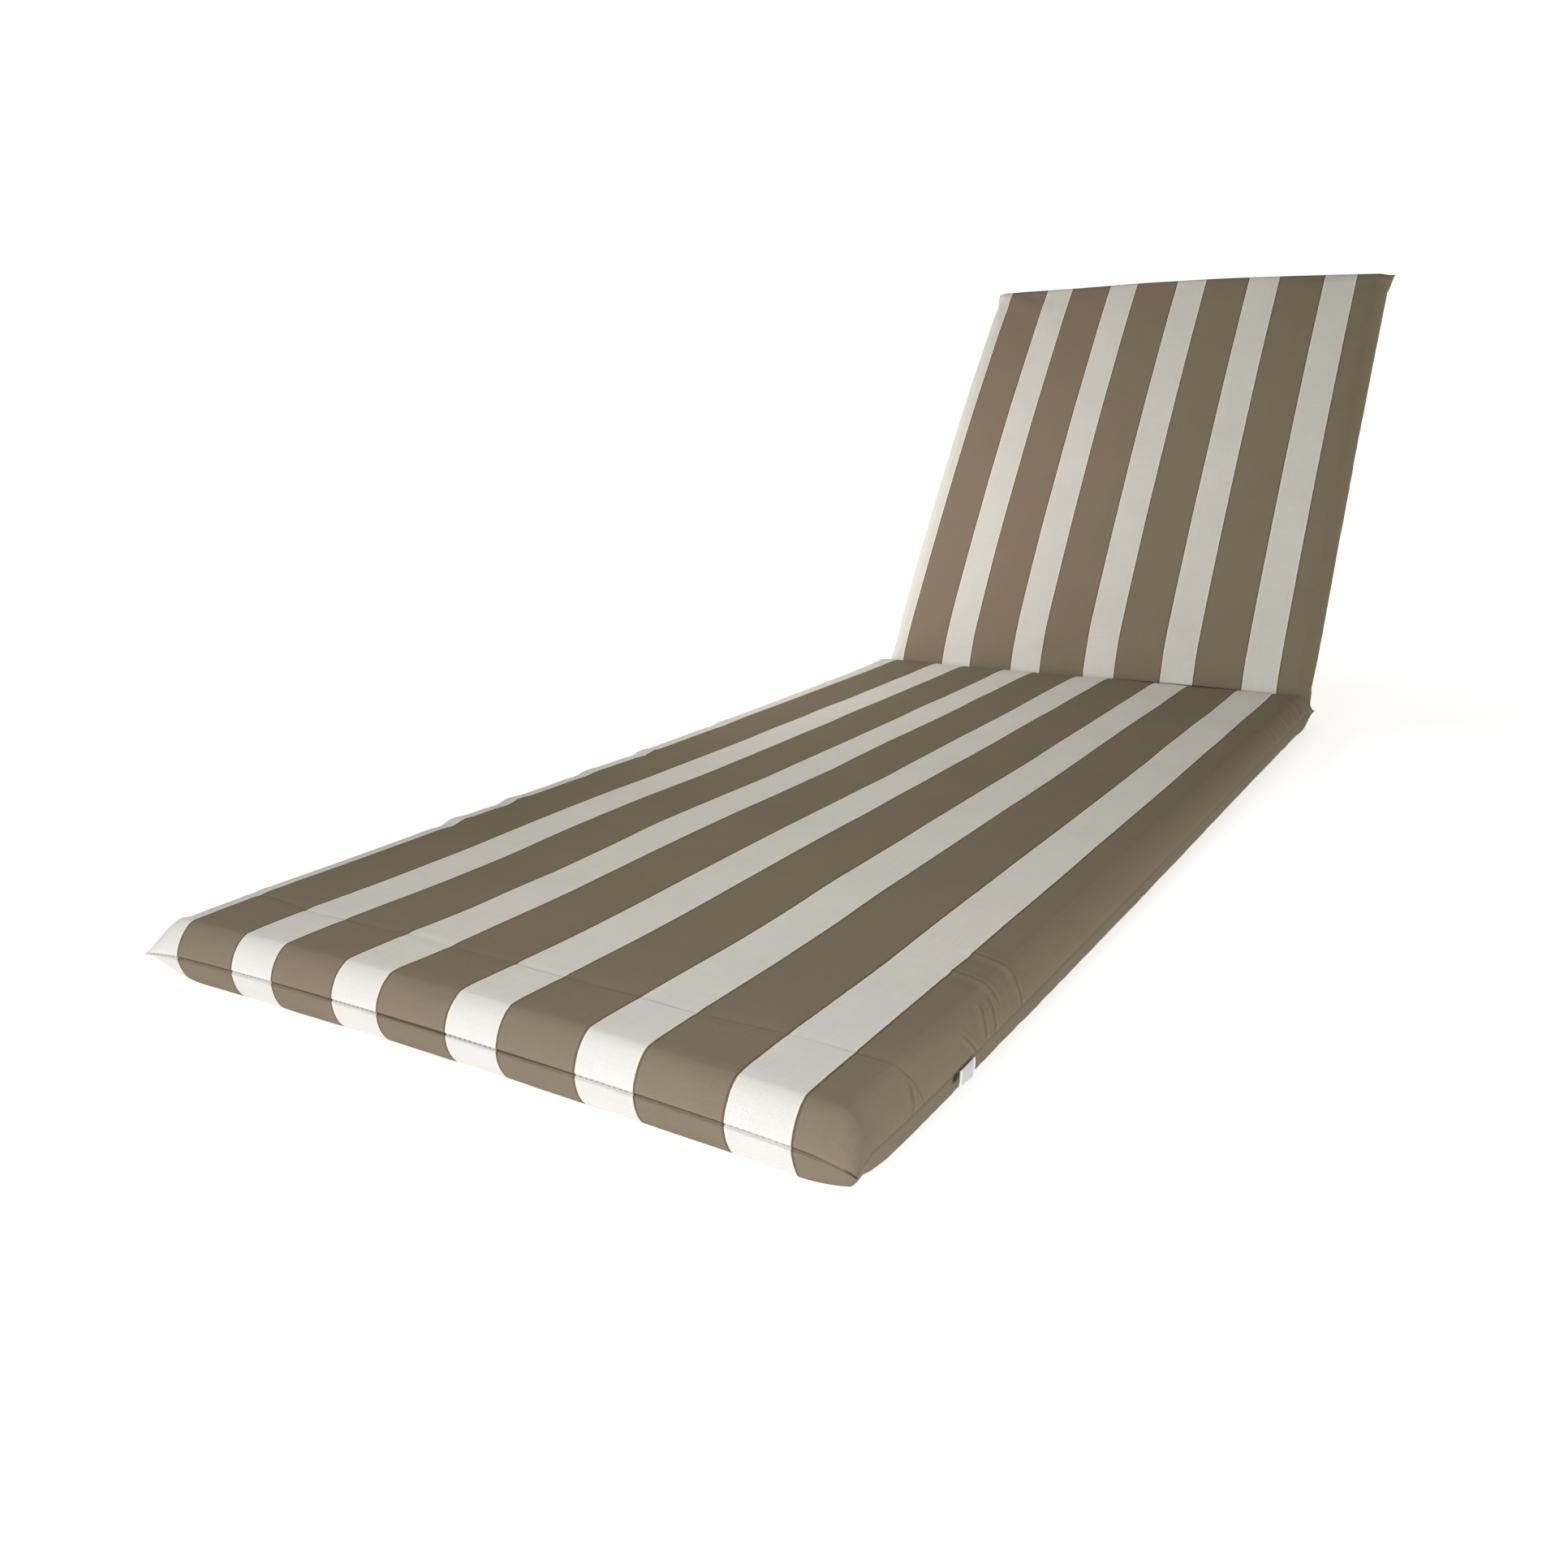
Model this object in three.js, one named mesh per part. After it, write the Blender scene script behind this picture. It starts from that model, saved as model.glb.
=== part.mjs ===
// A padded cushion for a sun lounger: a long flat seat section and a raised back section under one sewn
// cover, with a blank tab in the right side seam. Millimetres, +Z up. X runs across the cushion, to the
// right as seen from the foot end, and Y from the foot towards the head. The origin is in the plane of
// the seat's flat underside, below the middle of the seat section.
import * as THREE from "three";

// The two sections
const SEAT_LENGTH = 1182; // foot seam to hinge crease, along the top
const BACK_LENGTH = 691; // hinge crease to head seam, along the front
const SEAT_RIGHT_WIDTH = 295; // middle to the right side seam
const SEAT_LEFT_WIDTH = 297;
const SEAT_FLARE = 13; // the left side runs out this far towards the hinge
const FLARE_POWER = 1.5;
const FOOT_NARROWING = 4; // the right side runs in this far towards the foot end
const FOOT_NARROWING_REACH = 220;
const BACK_HALF_WIDTH = 296.5;
const THICKNESS = 46; // at the sides, just inside the rounded edges
const SEAM_HEIGHT = 26.5; // of the side seam above the underside, at the hinge
const FOOT_SEAM_DROP = 5.2; // the seam runs down this far towards the foot end
const SEAT_CROWN = 1.6; // extra thickness along the middle of the seat
const FOOT_THINNING = 2.5; // the top falls off this far at the foot end
const FOOT_THIN_REACH = 20;
// Where the seat's top is fuller or flatter: distance from the foot, reach and height
const SEAT_SWELLS = [
  [78, 55, 1],
  [190, 110, -1],
  [600, 200, -1.2],
];
const HINGE_PLUMPNESS = 3.5; // extra thickness of the seat just before the crease
const HINGE_PLUMP_REACH = 90;
const FOOT_LIFT = 5.5; // the foot end rises this far off the ground in its middle
const FOOT_LIFT_LENGTH = 85;
const FOOT_TILT = 1.5; // its right side rises by twice this
const FOOT_TILT_REACH = 250; // along the top

// How the back stands
const BACK_ANGLE_LOW = 55.1; // degrees above the seat, at the crease
const BACK_ANGLE_HIGH = 47.1; // at the head end: the back bends away from the sitter
const BACK_LEAN = -0.0257; // sideways shift for each unit of the back's length
const BACK_SKEW = 0.004; // the left side of the back is longer and the right shorter by this share
const BACK_LEFT_EXTRA = 0.008; // and its left edge is longer still by this share
const BACK_OFFSET = -2.5; // the back's middle line at the crease, against the seat's
const BACK_CROWN = 11.4; // the front face bulges this far in the middle
const BACK_HOLLOW = 8; // and the rear face follows it this far
const CROWN_FADE = 55; // the crowns die out over this length before the crease

// Rounded edges: from the seam, the cover swells to its full height over these widths
const TOP_ROUND = 17;
const UNDER_ROUND = 9;
const ROUND_POWER = 1.25; // 1 is a quarter ellipse, and more is pinched towards the seam
const ROUND_STEPS = 6;

// The sewn hinge channel
const CREASE_DIP = 4; // depth of the crease in the top
const CREASE_REACH = 7; // the dip dies out over about this length
const STITCH_CORE = 3; // thickness that the stitches leave below the side seam's level
const CHANNEL_ROUND = 13; // width of each flank of the channel on the underside
const HINGE_BLEND = 70; // the sections tilt into the hinge over this length

// Corners and hinge ends, where the seam is pulled out to small ears
const FOOT_EAR = 4.5;
const FOOT_LEFT_EXTRA = 4; // the left ear of the foot end reaches this much further
const HEAD_EAR = 6;
const HINGE_EAR = 6;
const EAR_LENGTH = 16; // an ear dies out over about this length of seam
const FOOT_EAR_DROOP = 2; // the ears at the foot end hang this far down
const CORNER_SOFTNESS = 0.7; // the filling thins by this share towards a corner of the underside
const CORNER_REACH = 60;
const HINGE_TUCK = 4; // the back's side seams run in beside the hinge ears
const HINGE_TUCK_LENGTH = 45;

// Mesh steps
const SEAT_STEP = 85;
const BACK_STEP = 62;
const ACROSS_STEPS = 12;

// The tab in the right side seam
const TAB_WIDTH = 21; // along the seam
const TAB_DROP = 10; // from the seam to the free edge, along the tab
const TAB_THICKNESS = 1;
const TAB_FROM_FOOT = 138; // foot seam to the middle of the tab
const TAB_GAP = 0.35; // clear of the cover
const TAB_BELOW_SEAM = 1;
const TAB_ANGLE_ROOT = 65; // degrees below level where it leaves the seam
const TAB_ANGLE_END = 88;
const TAB_SLANT = 37; // degrees from square to the seam, towards the foot
const TAB_STEPS = 6;

const TOP_HALF = THICKNESS - SEAM_HEIGHT;
const QUARTER_TURN = Math.PI / 2;
const radians = THREE.MathUtils.degToRad;
const hingeTilt = radians(BACK_ANGLE_LOW) / 2;
const HINGE_SHIFT = TOP_HALF * Math.tan(hingeTilt); // the seam meets the hinge this far past the crease

// Distance in from a seam, and share of the full height there, at a turn from 0 at the seam
const roundDistance = (turn, width) => width * (1 - Math.cos(turn) ** ROUND_POWER);
const roundHeight = (turn) => (turn >= QUARTER_TURN ? 1 : Math.sin(turn) ** ROUND_POWER);
const roundTurns = Array.from({ length: ROUND_STEPS + 1 }, (_, step) => (QUARTER_TURN * step) / ROUND_STEPS);
const dyingOut = (distance, reach) => Math.exp(-distance / reach);
const bump = (distance, reach) => Math.exp(-((distance / reach) ** 2));
const rampUp = (distance, reach) => Math.min(1, distance / reach);
const mix = (from, to, share) => from + (to - from) * share;

// A point of the seat or of the back as [y, z], from its distance along the section and its height above
// the level of the side seam. The seat is measured from the foot seam and the back from the crease.
const seatPlace = (along, height) => [along, SEAM_HEIGHT + height];
function backPlace(along, height) {
  const turned = radians(BACK_ANGLE_HIGH - BACK_ANGLE_LOW) * (along / BACK_LENGTH);
  const angle = radians(BACK_ANGLE_LOW) + turned;
  const chord = radians(BACK_ANGLE_LOW) + turned / 2;
  const below = TOP_HALF - height;
  const y = SEAT_LENGTH + along * Math.cos(chord) + below * Math.sin(angle);
  const z = THICKNESS + along * Math.sin(chord) - below * Math.cos(angle);
  return [y, z];
}

// A station is one section across the cushion. It holds the distance along of its top, side seam and
// underside, its heights above and below the seam, how far its crowns add to them, its side seams, how
// full it is between 0 at an end seam and 1, and how its corners and its end are pulled about.
function seatStation(along) {
  const fromCrease = SEAT_LENGTH - along;
  const atCrease = dyingOut(fromCrease, CREASE_REACH);
  const drop = FOOT_SEAM_DROP * (fromCrease / SEAT_LENGTH);
  const beforeCrease = HINGE_PLUMPNESS * (dyingOut(fromCrease, HINGE_PLUMP_REACH) - atCrease);
  const thinned = FOOT_THINNING * dyingOut(along, FOOT_THIN_REACH);
  const swell = SEAT_SWELLS.reduce(
    (total, [place, reach, height]) => total + height * bump(along - place, reach),
    beforeCrease - thinned,
  );
  const raised = Math.max(0, 1 - along / FOOT_LIFT_LENGTH) ** 2;
  return {
    place: seatPlace,
    top: along,
    seam: along + HINGE_SHIFT * (1 - rampUp(fromCrease, HINGE_BLEND)),
    under: along,
    topHeight: TOP_HALF + drop + swell - CREASE_DIP * atCrease,
    underHeight: SEAM_HEIGHT - drop,
    topCrown: SEAT_CROWN * rampUp(fromCrease, CROWN_FADE),
    underCrown: 0,
    left: -SEAT_LEFT_WIDTH - SEAT_FLARE * (along / SEAT_LENGTH) ** FLARE_POWER,
    right: SEAT_RIGHT_WIDTH - FOOT_NARROWING * dyingOut(along, FOOT_NARROWING_REACH),
    fullness: 1,
    endward: 0,
    toEnd: along,
    droop: FOOT_EAR_DROOP,
    drop,
    lift: FOOT_LIFT * raised,
    topTilt: FOOT_TILT * dyingOut(along, FOOT_TILT_REACH),
    underTilt: FOOT_TILT * raised,
  };
}

function backStation(along) {
  const tuck = HINGE_TUCK * dyingOut(along, HINGE_TUCK_LENGTH);
  const middle = BACK_OFFSET + BACK_LEAN * along;
  return {
    place: backPlace,
    top: along,
    seam: along - HINGE_SHIFT * (1 - rampUp(along, HINGE_BLEND)),
    under: along,
    topHeight: TOP_HALF - CREASE_DIP * dyingOut(along, CREASE_REACH),
    underHeight: SEAM_HEIGHT,
    topCrown: BACK_CROWN * rampUp(along, CROWN_FADE),
    underCrown: BACK_HOLLOW * rampUp(along, CROWN_FADE),
    left: middle - BACK_HALF_WIDTH + tuck,
    right: middle + BACK_HALF_WIDTH - tuck,
    fullness: 1,
    endward: 0,
    toEnd: BACK_LENGTH - along,
    droop: 0,
    drop: 0,
    lift: 0,
    topTilt: 0,
    underTilt: 0,
  };
}

function widen(station, ear, leftExtra = 0) {
  station.left -= ear + leftExtra;
  station.right += ear;
  return station;
}

// The stations of a rounded end, from its seam to the full thickness: start is the seam's distance along
// the section, inward is 1 or -1, ear is how far its corners reach out and leftExtra how much further the
// left one does
function endStations(stationAt, start, inward, ear, leftExtra) {
  return roundTurns.map((turn) => {
    const inTop = roundDistance(turn, TOP_ROUND);
    const inUnder = roundDistance(turn, UNDER_ROUND);
    const inSeam = (inTop + inUnder) / 2;
    const dying = dyingOut(inSeam, EAR_LENGTH);
    const station = widen(stationAt(start + inward * inTop), ear * dying, leftExtra * dying);
    station.seam = start + inward * inSeam;
    station.under = start + inward * inUnder;
    station.fullness = roundHeight(turn);
    station.endward = -inward * ear;
    return station;
  });
}

// One flank of the sewn channel: the underside rises from its full depth to the stitches. The crease is at
// the distance start on top, the stitches are at stitchStart below, and inward is 1 or -1.
function hingeStations(stationAt, start, stitchStart, inward) {
  return roundTurns.slice(1).map((turn, step) => {
    const inUnder = roundDistance(turn, CHANNEL_ROUND);
    const inTop = mix(0, CHANNEL_ROUND + HINGE_SHIFT, (step + 1) / ROUND_STEPS);
    const station = widen(stationAt(start + inward * inTop), HINGE_EAR * dyingOut(inTop, EAR_LENGTH));
    station.under = stitchStart + inward * inUnder;
    station.underHeight = mix(STITCH_CORE, station.underHeight, roundHeight(turn));
    return station;
  });
}

// Evenly spaced stations between two distances, without the ends
function betweenStations(stationAt, start, end, step) {
  const count = Math.round((end - start) / step);
  return Array.from({ length: count - 1 }, (_, place) => stationAt(mix(start, end, (place + 1) / count)));
}

function creaseStation() {
  const station = widen(seatStation(SEAT_LENGTH), HINGE_EAR);
  station.under = SEAT_LENGTH + HINGE_SHIFT;
  station.underHeight = STITCH_CORE;
  return station;
}

function allStations() {
  const hingeReach = CHANNEL_ROUND + HINGE_SHIFT;
  const stitchOnSeat = SEAT_LENGTH + HINGE_SHIFT;
  return [
    ...endStations(seatStation, 0, 1, FOOT_EAR, FOOT_LEFT_EXTRA),
    ...betweenStations(seatStation, TOP_ROUND, SEAT_LENGTH - hingeReach, SEAT_STEP),
    ...hingeStations(seatStation, SEAT_LENGTH, stitchOnSeat, -1).reverse(),
    creaseStation(),
    ...hingeStations(backStation, 0, -HINGE_SHIFT, 1),
    ...betweenStations(backStation, hingeReach, BACK_LENGTH - TOP_ROUND, BACK_STEP),
    ...endStations(backStation, BACK_LENGTH, -1, HEAD_EAR, 0).reverse(),
  ];
}

// The columns across the cushion: rounded at both side seams, even in between. share runs from 0 to 1.
function allColumns() {
  const leftRound = roundTurns.map((turn) => ({ turn, share: 0 }));
  const rightRound = roundTurns.map((turn) => ({ turn, share: 1 })).reverse();
  const inner = Array.from({ length: ACROSS_STEPS - 1 }, (_, place) => ({
    turn: QUARTER_TURN,
    share: (place + 1) / ACROSS_STEPS,
  }));
  return [...leftRound, ...inner, ...rightRound];
}

// A point of the top layer (side 1) or the under layer (side -1)
function padPoint(station, column, side) {
  const width = side > 0 ? TOP_ROUND : UNDER_ROUND;
  const fromSeam = roundDistance(column.turn, width);
  const innerLeft = station.left + width;
  const innerRight = station.right - width;
  let x = mix(innerLeft, innerRight, column.share);
  if (column.share === 0) x = station.left + fromSeam;
  if (column.share === 1) x = station.right - fromSeam;

  const across = (2 * x - station.left - station.right) / (station.right - station.left);
  const bulge = 1 - across * across;
  const toSide = (station.right - station.left) * (0.5 - Math.abs(across) / 2);
  const corner = Math.max(0, 1 - (toSide + station.toEnd) / CORNER_REACH) ** 2;
  const thinned = side > 0 ? 1 : 1 - CORNER_SOFTNESS * corner;
  const full = roundHeight(column.turn) * station.fullness * thinned;
  const height =
    side > 0
      ? (station.topHeight + station.topCrown * bulge) * full
      : (station.underCrown * bulge - station.underHeight) * full;

  const ear = dyingOut(toSide, EAR_LENGTH);
  const layer = side > 0 ? station.top : station.under;
  const endShift = station.endward * (1 - station.fullness) * ear;
  const longer = BACK_LEFT_EXTRA * Math.max(0, -across) ** 2 - BACK_SKEW * across;
  const skewed = station.place === backPlace ? 1 + longer : 1;
  const along = mix(station.seam, layer, roundHeight(column.turn)) * skewed + endShift;
  const tilt = mix(station.underTilt, side > 0 ? station.topTilt : station.underTilt, full);
  const raised = station.lift * bulge + tilt * (1 + across);
  const droop = station.droop * ear * (1 - station.fullness);
  const [y, z] = station.place(along, height - droop - station.drop + raised);
  return [x, y, z];
}

// Two layers of stations and columns that share their seam all round
function padGeometry(stations, columns) {
  const positions = [];
  const addLayer = (side) =>
    stations.map((station) =>
      columns.map((column) => positions.push(...padPoint(station, column, side)) / 3 - 1),
    );
  const top = addLayer(1);
  const under = addLayer(-1);
  const lastRow = stations.length - 1;
  const lastColumn = columns.length - 1;
  const onSeam = (row, column) => row === 0 || row === lastRow || column === 0 || column === lastColumn;
  const underIndex = (row, column) => (onSeam(row, column) ? top[row][column] : under[row][column]);

  const faces = [];
  for (let row = 0; row < lastRow; row += 1) {
    for (let column = 0; column < lastColumn; column += 1) {
      const corners = [
        [row, column],
        [row, column + 1],
        [row + 1, column + 1],
        [row + 1, column],
      ];
      const [a, b, c, d] = corners.map(([r, k]) => top[r][k]);
      const [e, f, g, h] = corners.map(([r, k]) => underIndex(r, k));
      faces.push(a, b, c, a, c, d);
      faces.push(e, g, f, e, h, g);
    }
  }
  const geometry = new THREE.BufferGeometry();
  geometry.setAttribute("position", new THREE.Float32BufferAttribute(positions, 3));
  geometry.setIndex(faces);
  return geometry;
}

// The tab: a small strip of cloth that leaves the seam and bends down
function tabGeometry() {
  const geometry = new THREE.BoxGeometry(TAB_DROP, TAB_WIDTH, TAB_THICKNESS, TAB_STEPS, 2, 1);
  const positions = geometry.getAttribute("position");
  const turned = radians(TAB_ANGLE_END - TAB_ANGLE_ROOT);
  const slant = radians(TAB_SLANT);
  for (let vertex = 0; vertex < positions.count; vertex += 1) {
    const share = positions.getX(vertex) / TAB_DROP + 0.5;
    const angle = radians(TAB_ANGLE_ROOT) + turned * share;
    const chord = radians(TAB_ANGLE_ROOT) + (turned * share) / 2;
    const offset = positions.getZ(vertex);
    const hung = TAB_DROP * Math.cos(slant) * share;
    const x = hung * Math.cos(chord) + offset * Math.sin(angle);
    const y = positions.getY(vertex) - TAB_DROP * Math.sin(slant) * share;
    const z = -hung * Math.sin(chord) + offset * Math.cos(angle);
    positions.setXYZ(vertex, x, y, z);
  }
  return geometry;
}

const canvas = new THREE.MeshStandardMaterial({ color: 0x94866f, roughness: 0.9, metalness: 0 });
const whiteTape = new THREE.MeshStandardMaterial({ color: 0xd8dcda, roughness: 0.7, metalness: 0 });

function makeCushion() {
  const mesh = new THREE.Mesh(padGeometry(allStations(), allColumns()), canvas);
  mesh.name = "cushion";
  return mesh;
}

function makeTab() {
  const mesh = new THREE.Mesh(tabGeometry(), whiteTape);
  mesh.name = "tab";
  const clear = TAB_GAP + (TAB_THICKNESS / 2) * Math.sin(radians(TAB_ANGLE_ROOT));
  const station = seatStation(TAB_FROM_FOOT);
  const seamZ = SEAM_HEIGHT - station.drop;
  mesh.position.set(station.right + clear, TAB_FROM_FOOT, seamZ - TAB_BELOW_SEAM);
  return mesh;
}

const loungerCushion = new THREE.Group();
loungerCushion.position.y = -SEAT_LENGTH / 2;
loungerCushion.add(makeCushion(), makeTab());

export default loungerCushion;
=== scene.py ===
import math

import bpy
import numpy as np
from mathutils import Matrix, Vector


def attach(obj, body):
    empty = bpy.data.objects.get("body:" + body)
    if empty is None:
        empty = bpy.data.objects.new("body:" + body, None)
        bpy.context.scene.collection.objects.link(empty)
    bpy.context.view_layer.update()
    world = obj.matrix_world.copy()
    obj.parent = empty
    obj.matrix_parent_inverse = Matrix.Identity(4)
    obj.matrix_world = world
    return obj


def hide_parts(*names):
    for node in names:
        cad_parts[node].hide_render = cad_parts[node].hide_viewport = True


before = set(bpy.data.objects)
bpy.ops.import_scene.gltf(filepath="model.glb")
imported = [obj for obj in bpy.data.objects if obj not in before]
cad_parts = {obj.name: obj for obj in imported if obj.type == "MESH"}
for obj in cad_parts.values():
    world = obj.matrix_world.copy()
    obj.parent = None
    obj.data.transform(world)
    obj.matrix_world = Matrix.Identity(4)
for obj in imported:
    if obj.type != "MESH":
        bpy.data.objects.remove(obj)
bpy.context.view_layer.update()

# The cushion's shape, in metres and degrees: the CAD source has the same values, in millimetres
SEAT_LENGTH = 1.182  # foot seam to hinge crease, along the top
BACK_LENGTH = 0.691  # hinge crease to head seam, along the front
SEAT_RIGHT_WIDTH = 0.295  # middle to the right side seam
SEAT_LEFT_WIDTH = 0.297
SEAT_FLARE = 0.013  # the left side runs out this far towards the hinge
FLARE_POWER = 1.5
FOOT_NARROWING = 0.004  # the right side runs in this far towards the foot end
FOOT_NARROWING_REACH = 0.220
BACK_HALF_WIDTH = 0.2965
THICKNESS = 0.046  # at the sides, just inside the rounded edges
SEAM_HEIGHT = 0.0265  # of the side seam above the underside, at the hinge
FOOT_SEAM_DROP = 0.0052  # the seam runs down this far towards the foot end
SEAT_CROWN = 0.0016  # extra thickness along the middle of the seat
FOOT_THINNING = 0.0025  # the top falls off this far at the foot end
FOOT_THIN_REACH = 0.020
# Where the seat's top is fuller or flatter: distance from the foot, reach and height
SEAT_SWELLS = ((0.078, 0.055, 0.0010), (0.190, 0.110, -0.0010), (0.600, 0.200, -0.0012))
HINGE_PLUMPNESS = 0.0035  # extra thickness of the seat just before the crease
HINGE_PLUMP_REACH = 0.090
FOOT_LIFT = 0.0055  # the foot end rises this far off the ground in its middle
FOOT_LIFT_LENGTH = 0.085
FOOT_TILT = 0.0015  # its right side rises by twice this
FOOT_TILT_REACH = 0.250  # along the top

# How the back stands
BACK_ANGLE_LOW = 55.1  # above the seat, at the crease
BACK_ANGLE_HIGH = 47.1  # at the head end: the back bends away from the sitter
BACK_LEAN = -0.0257  # sideways shift for each unit of the back's length
BACK_SKEW = 0.004  # the left side of the back is longer and the right shorter by this share
BACK_LEFT_EXTRA = 0.008  # and its left edge is longer still by this share
BACK_OFFSET = -0.0025  # the back's middle line at the crease, against the seat's
BACK_CROWN = 0.0114  # the front face bulges this far in the middle
BACK_HOLLOW = 0.008  # and the rear face follows it this far
CROWN_FADE = 0.055  # the crowns die out over this length before the crease

# Rounded edges: from the seam, the cover swells to its full height over these widths
TOP_ROUND = 0.017
UNDER_ROUND = 0.009
ROUND_POWER = 1.25  # 1 is a quarter ellipse, and more is pinched towards the seam

# The sewn hinge channel
CREASE_DIP = 0.004  # depth of the crease in the top
CREASE_REACH = 0.007  # the dip dies out over about this length
STITCH_CORE = 0.003  # thickness that the stitches leave below the side seam's level
CHANNEL_ROUND = 0.013  # width of each flank of the channel on the underside
HINGE_BLEND = 0.070  # the sections tilt into the hinge over this length

# Corners and hinge ends, where the seam is pulled out to small ears
FOOT_EAR = 0.0045
FOOT_LEFT_EXTRA = 0.004  # the left ear of the foot end reaches this much further
HEAD_EAR = 0.006
HINGE_EAR = 0.006
EAR_LENGTH = 0.016  # an ear dies out over about this length of seam
FOOT_EAR_DROOP = 0.002  # the ears at the foot end hang this far down
CORNER_SOFTNESS = 0.7  # the filling thins by this share towards a corner of the underside
CORNER_REACH = 0.060
HINGE_TUCK = 0.004  # the back's side seams run in beside the hinge ears
HINGE_TUCK_LENGTH = 0.045

# Mesh steps: rows round an edge and across a flank of the channel, and the rows' spacing up to
# each distance along a section
ROUND_STEPS = 13
HINGE_STEPS = 11
SEAT_STEPS = (
    (0.060, 0.0045), (0.100, 0.0035), (0.265, 0.0028),
    (0.330, 0.006), (1.035, 0.0086), (1.182, 0.0042),
)
BACK_STEPS = ((0.060, 0.0042), (0.660, 0.0082), (0.691, 0.005))
ACROSS_STEPS = 82

TOP_HALF = THICKNESS - SEAM_HEIGHT
HINGE_SHIFT = TOP_HALF * math.tan(math.radians(BACK_ANGLE_LOW) / 2)

# The outermost stripes keep their colour out to the tips of the ears, so u stays within this
STRIPE_LEFT_END, STRIPE_RIGHT_END = -0.3125, 0.3145

# Value noise: the cells of its table, and a shift that keeps zero off a cell's corner
NOISE_CELLS = 64
NOISE_SHIFT = (17.3, 9.7)


def mix(a, b, share):
    return a + (b - a) * share


def ramp(distance, reach):
    return np.clip(distance / reach, 0, 1)


def smooth(x):
    x = np.clip(x, 0, 1)
    return x * x * (3 - 2 * x)


def bump(distance, width):
    return np.exp(-((distance / width) ** 2))


def round_distance(turn, width):
    return width * (1 - np.maximum(np.cos(turn), 0) ** ROUND_POWER)


def round_height(turn):
    return np.maximum(np.sin(turn), 0) ** ROUND_POWER


def smoother(x):
    return x * x * x * (x * (6 * x - 15) + 10)


def noise(p, q, cell_p, cell_q, seed):
    """Smooth value noise from -1 to 1 over two coordinates, with its own cell size along each."""
    values = np.random.default_rng(seed).uniform(-1, 1, (NOISE_CELLS, NOISE_CELLS))
    a, b = p / cell_p + NOISE_SHIFT[0], q / cell_q + NOISE_SHIFT[1]
    i, j = np.floor(a).astype(int), np.floor(b).astype(int)
    s, t = smoother(a - i), smoother(b - j)

    def at(m, n):
        return values[m % NOISE_CELLS, n % NOISE_CELLS]

    low = mix(at(i, j), at(i + 1, j), s)
    high = mix(at(i, j + 1), at(i + 1, j + 1), s)
    return mix(low, high, t)


# Rows of the cushion's grid: each function gives, for places along a section, all that a row needs


def seat_place(along, height):
    return along - SEAT_LENGTH / 2, SEAM_HEIGHT + height


def back_place(along, height):
    low = math.radians(BACK_ANGLE_LOW)
    turned = math.radians(BACK_ANGLE_HIGH - BACK_ANGLE_LOW) * along / BACK_LENGTH
    angle, chord = low + turned, low + turned / 2
    below = TOP_HALF - height
    y = SEAT_LENGTH / 2 + along * np.cos(chord) + below * np.sin(angle)
    z = THICKNESS + along * np.sin(chord) - below * np.cos(angle)
    return y, z


def seat_rows(along):
    along = np.atleast_1d(np.asarray(along, float))
    one = np.ones_like(along)
    from_crease = SEAT_LENGTH - along
    drop = FOOT_SEAM_DROP * from_crease / SEAT_LENGTH
    swell = sum(height * bump(along - place, reach) for place, reach, height in SEAT_SWELLS)
    swell = swell - FOOT_THINNING * np.exp(-along / FOOT_THIN_REACH)
    at_crease = np.exp(-from_crease / CREASE_REACH)
    swell = swell + HINGE_PLUMPNESS * (np.exp(-from_crease / HINGE_PLUMP_REACH) - at_crease)
    raised = np.maximum(0, 1 - along / FOOT_LIFT_LENGTH) ** 2
    return dict(
        back=0 * one,
        top=along,
        seam=along + HINGE_SHIFT * (1 - ramp(from_crease, HINGE_BLEND)),
        under=along,
        top_height=TOP_HALF + drop + swell - CREASE_DIP * at_crease,
        under_height=SEAM_HEIGHT - drop,
        top_crown=SEAT_CROWN * ramp(from_crease, CROWN_FADE),
        under_crown=0 * one,
        left=-SEAT_LEFT_WIDTH - SEAT_FLARE * (along / SEAT_LENGTH) ** FLARE_POWER,
        right=SEAT_RIGHT_WIDTH - FOOT_NARROWING * np.exp(-along / FOOT_NARROWING_REACH),
        fullness=one,
        endward=0 * one,
        to_end=along,
        droop=FOOT_EAR_DROOP * one,
        drop=drop,
        lift=FOOT_LIFT * raised,
        top_tilt=FOOT_TILT * np.exp(-along / FOOT_TILT_REACH),
        under_tilt=FOOT_TILT * raised,
    )


def back_rows(along):
    along = np.atleast_1d(np.asarray(along, float))
    one = np.ones_like(along)
    tuck = HINGE_TUCK * np.exp(-along / HINGE_TUCK_LENGTH)
    middle = BACK_OFFSET + BACK_LEAN * along
    return dict(
        back=one,
        top=along,
        seam=along - HINGE_SHIFT * (1 - ramp(along, HINGE_BLEND)),
        under=along,
        top_height=TOP_HALF - CREASE_DIP * np.exp(-along / CREASE_REACH),
        under_height=SEAM_HEIGHT * one,
        top_crown=BACK_CROWN * ramp(along, CROWN_FADE),
        under_crown=BACK_HOLLOW * ramp(along, CROWN_FADE),
        left=middle - BACK_HALF_WIDTH + tuck,
        right=middle + BACK_HALF_WIDTH - tuck,
        fullness=one,
        endward=0 * one,
        to_end=BACK_LENGTH - along,
        droop=0 * one,
        drop=0 * one,
        lift=0 * one,
        top_tilt=0 * one,
        under_tilt=0 * one,
    )


def widened(rows, ear, left_extra=0):
    rows["left"] = rows["left"] - ear - left_extra
    rows["right"] = rows["right"] + ear
    return rows


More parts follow.
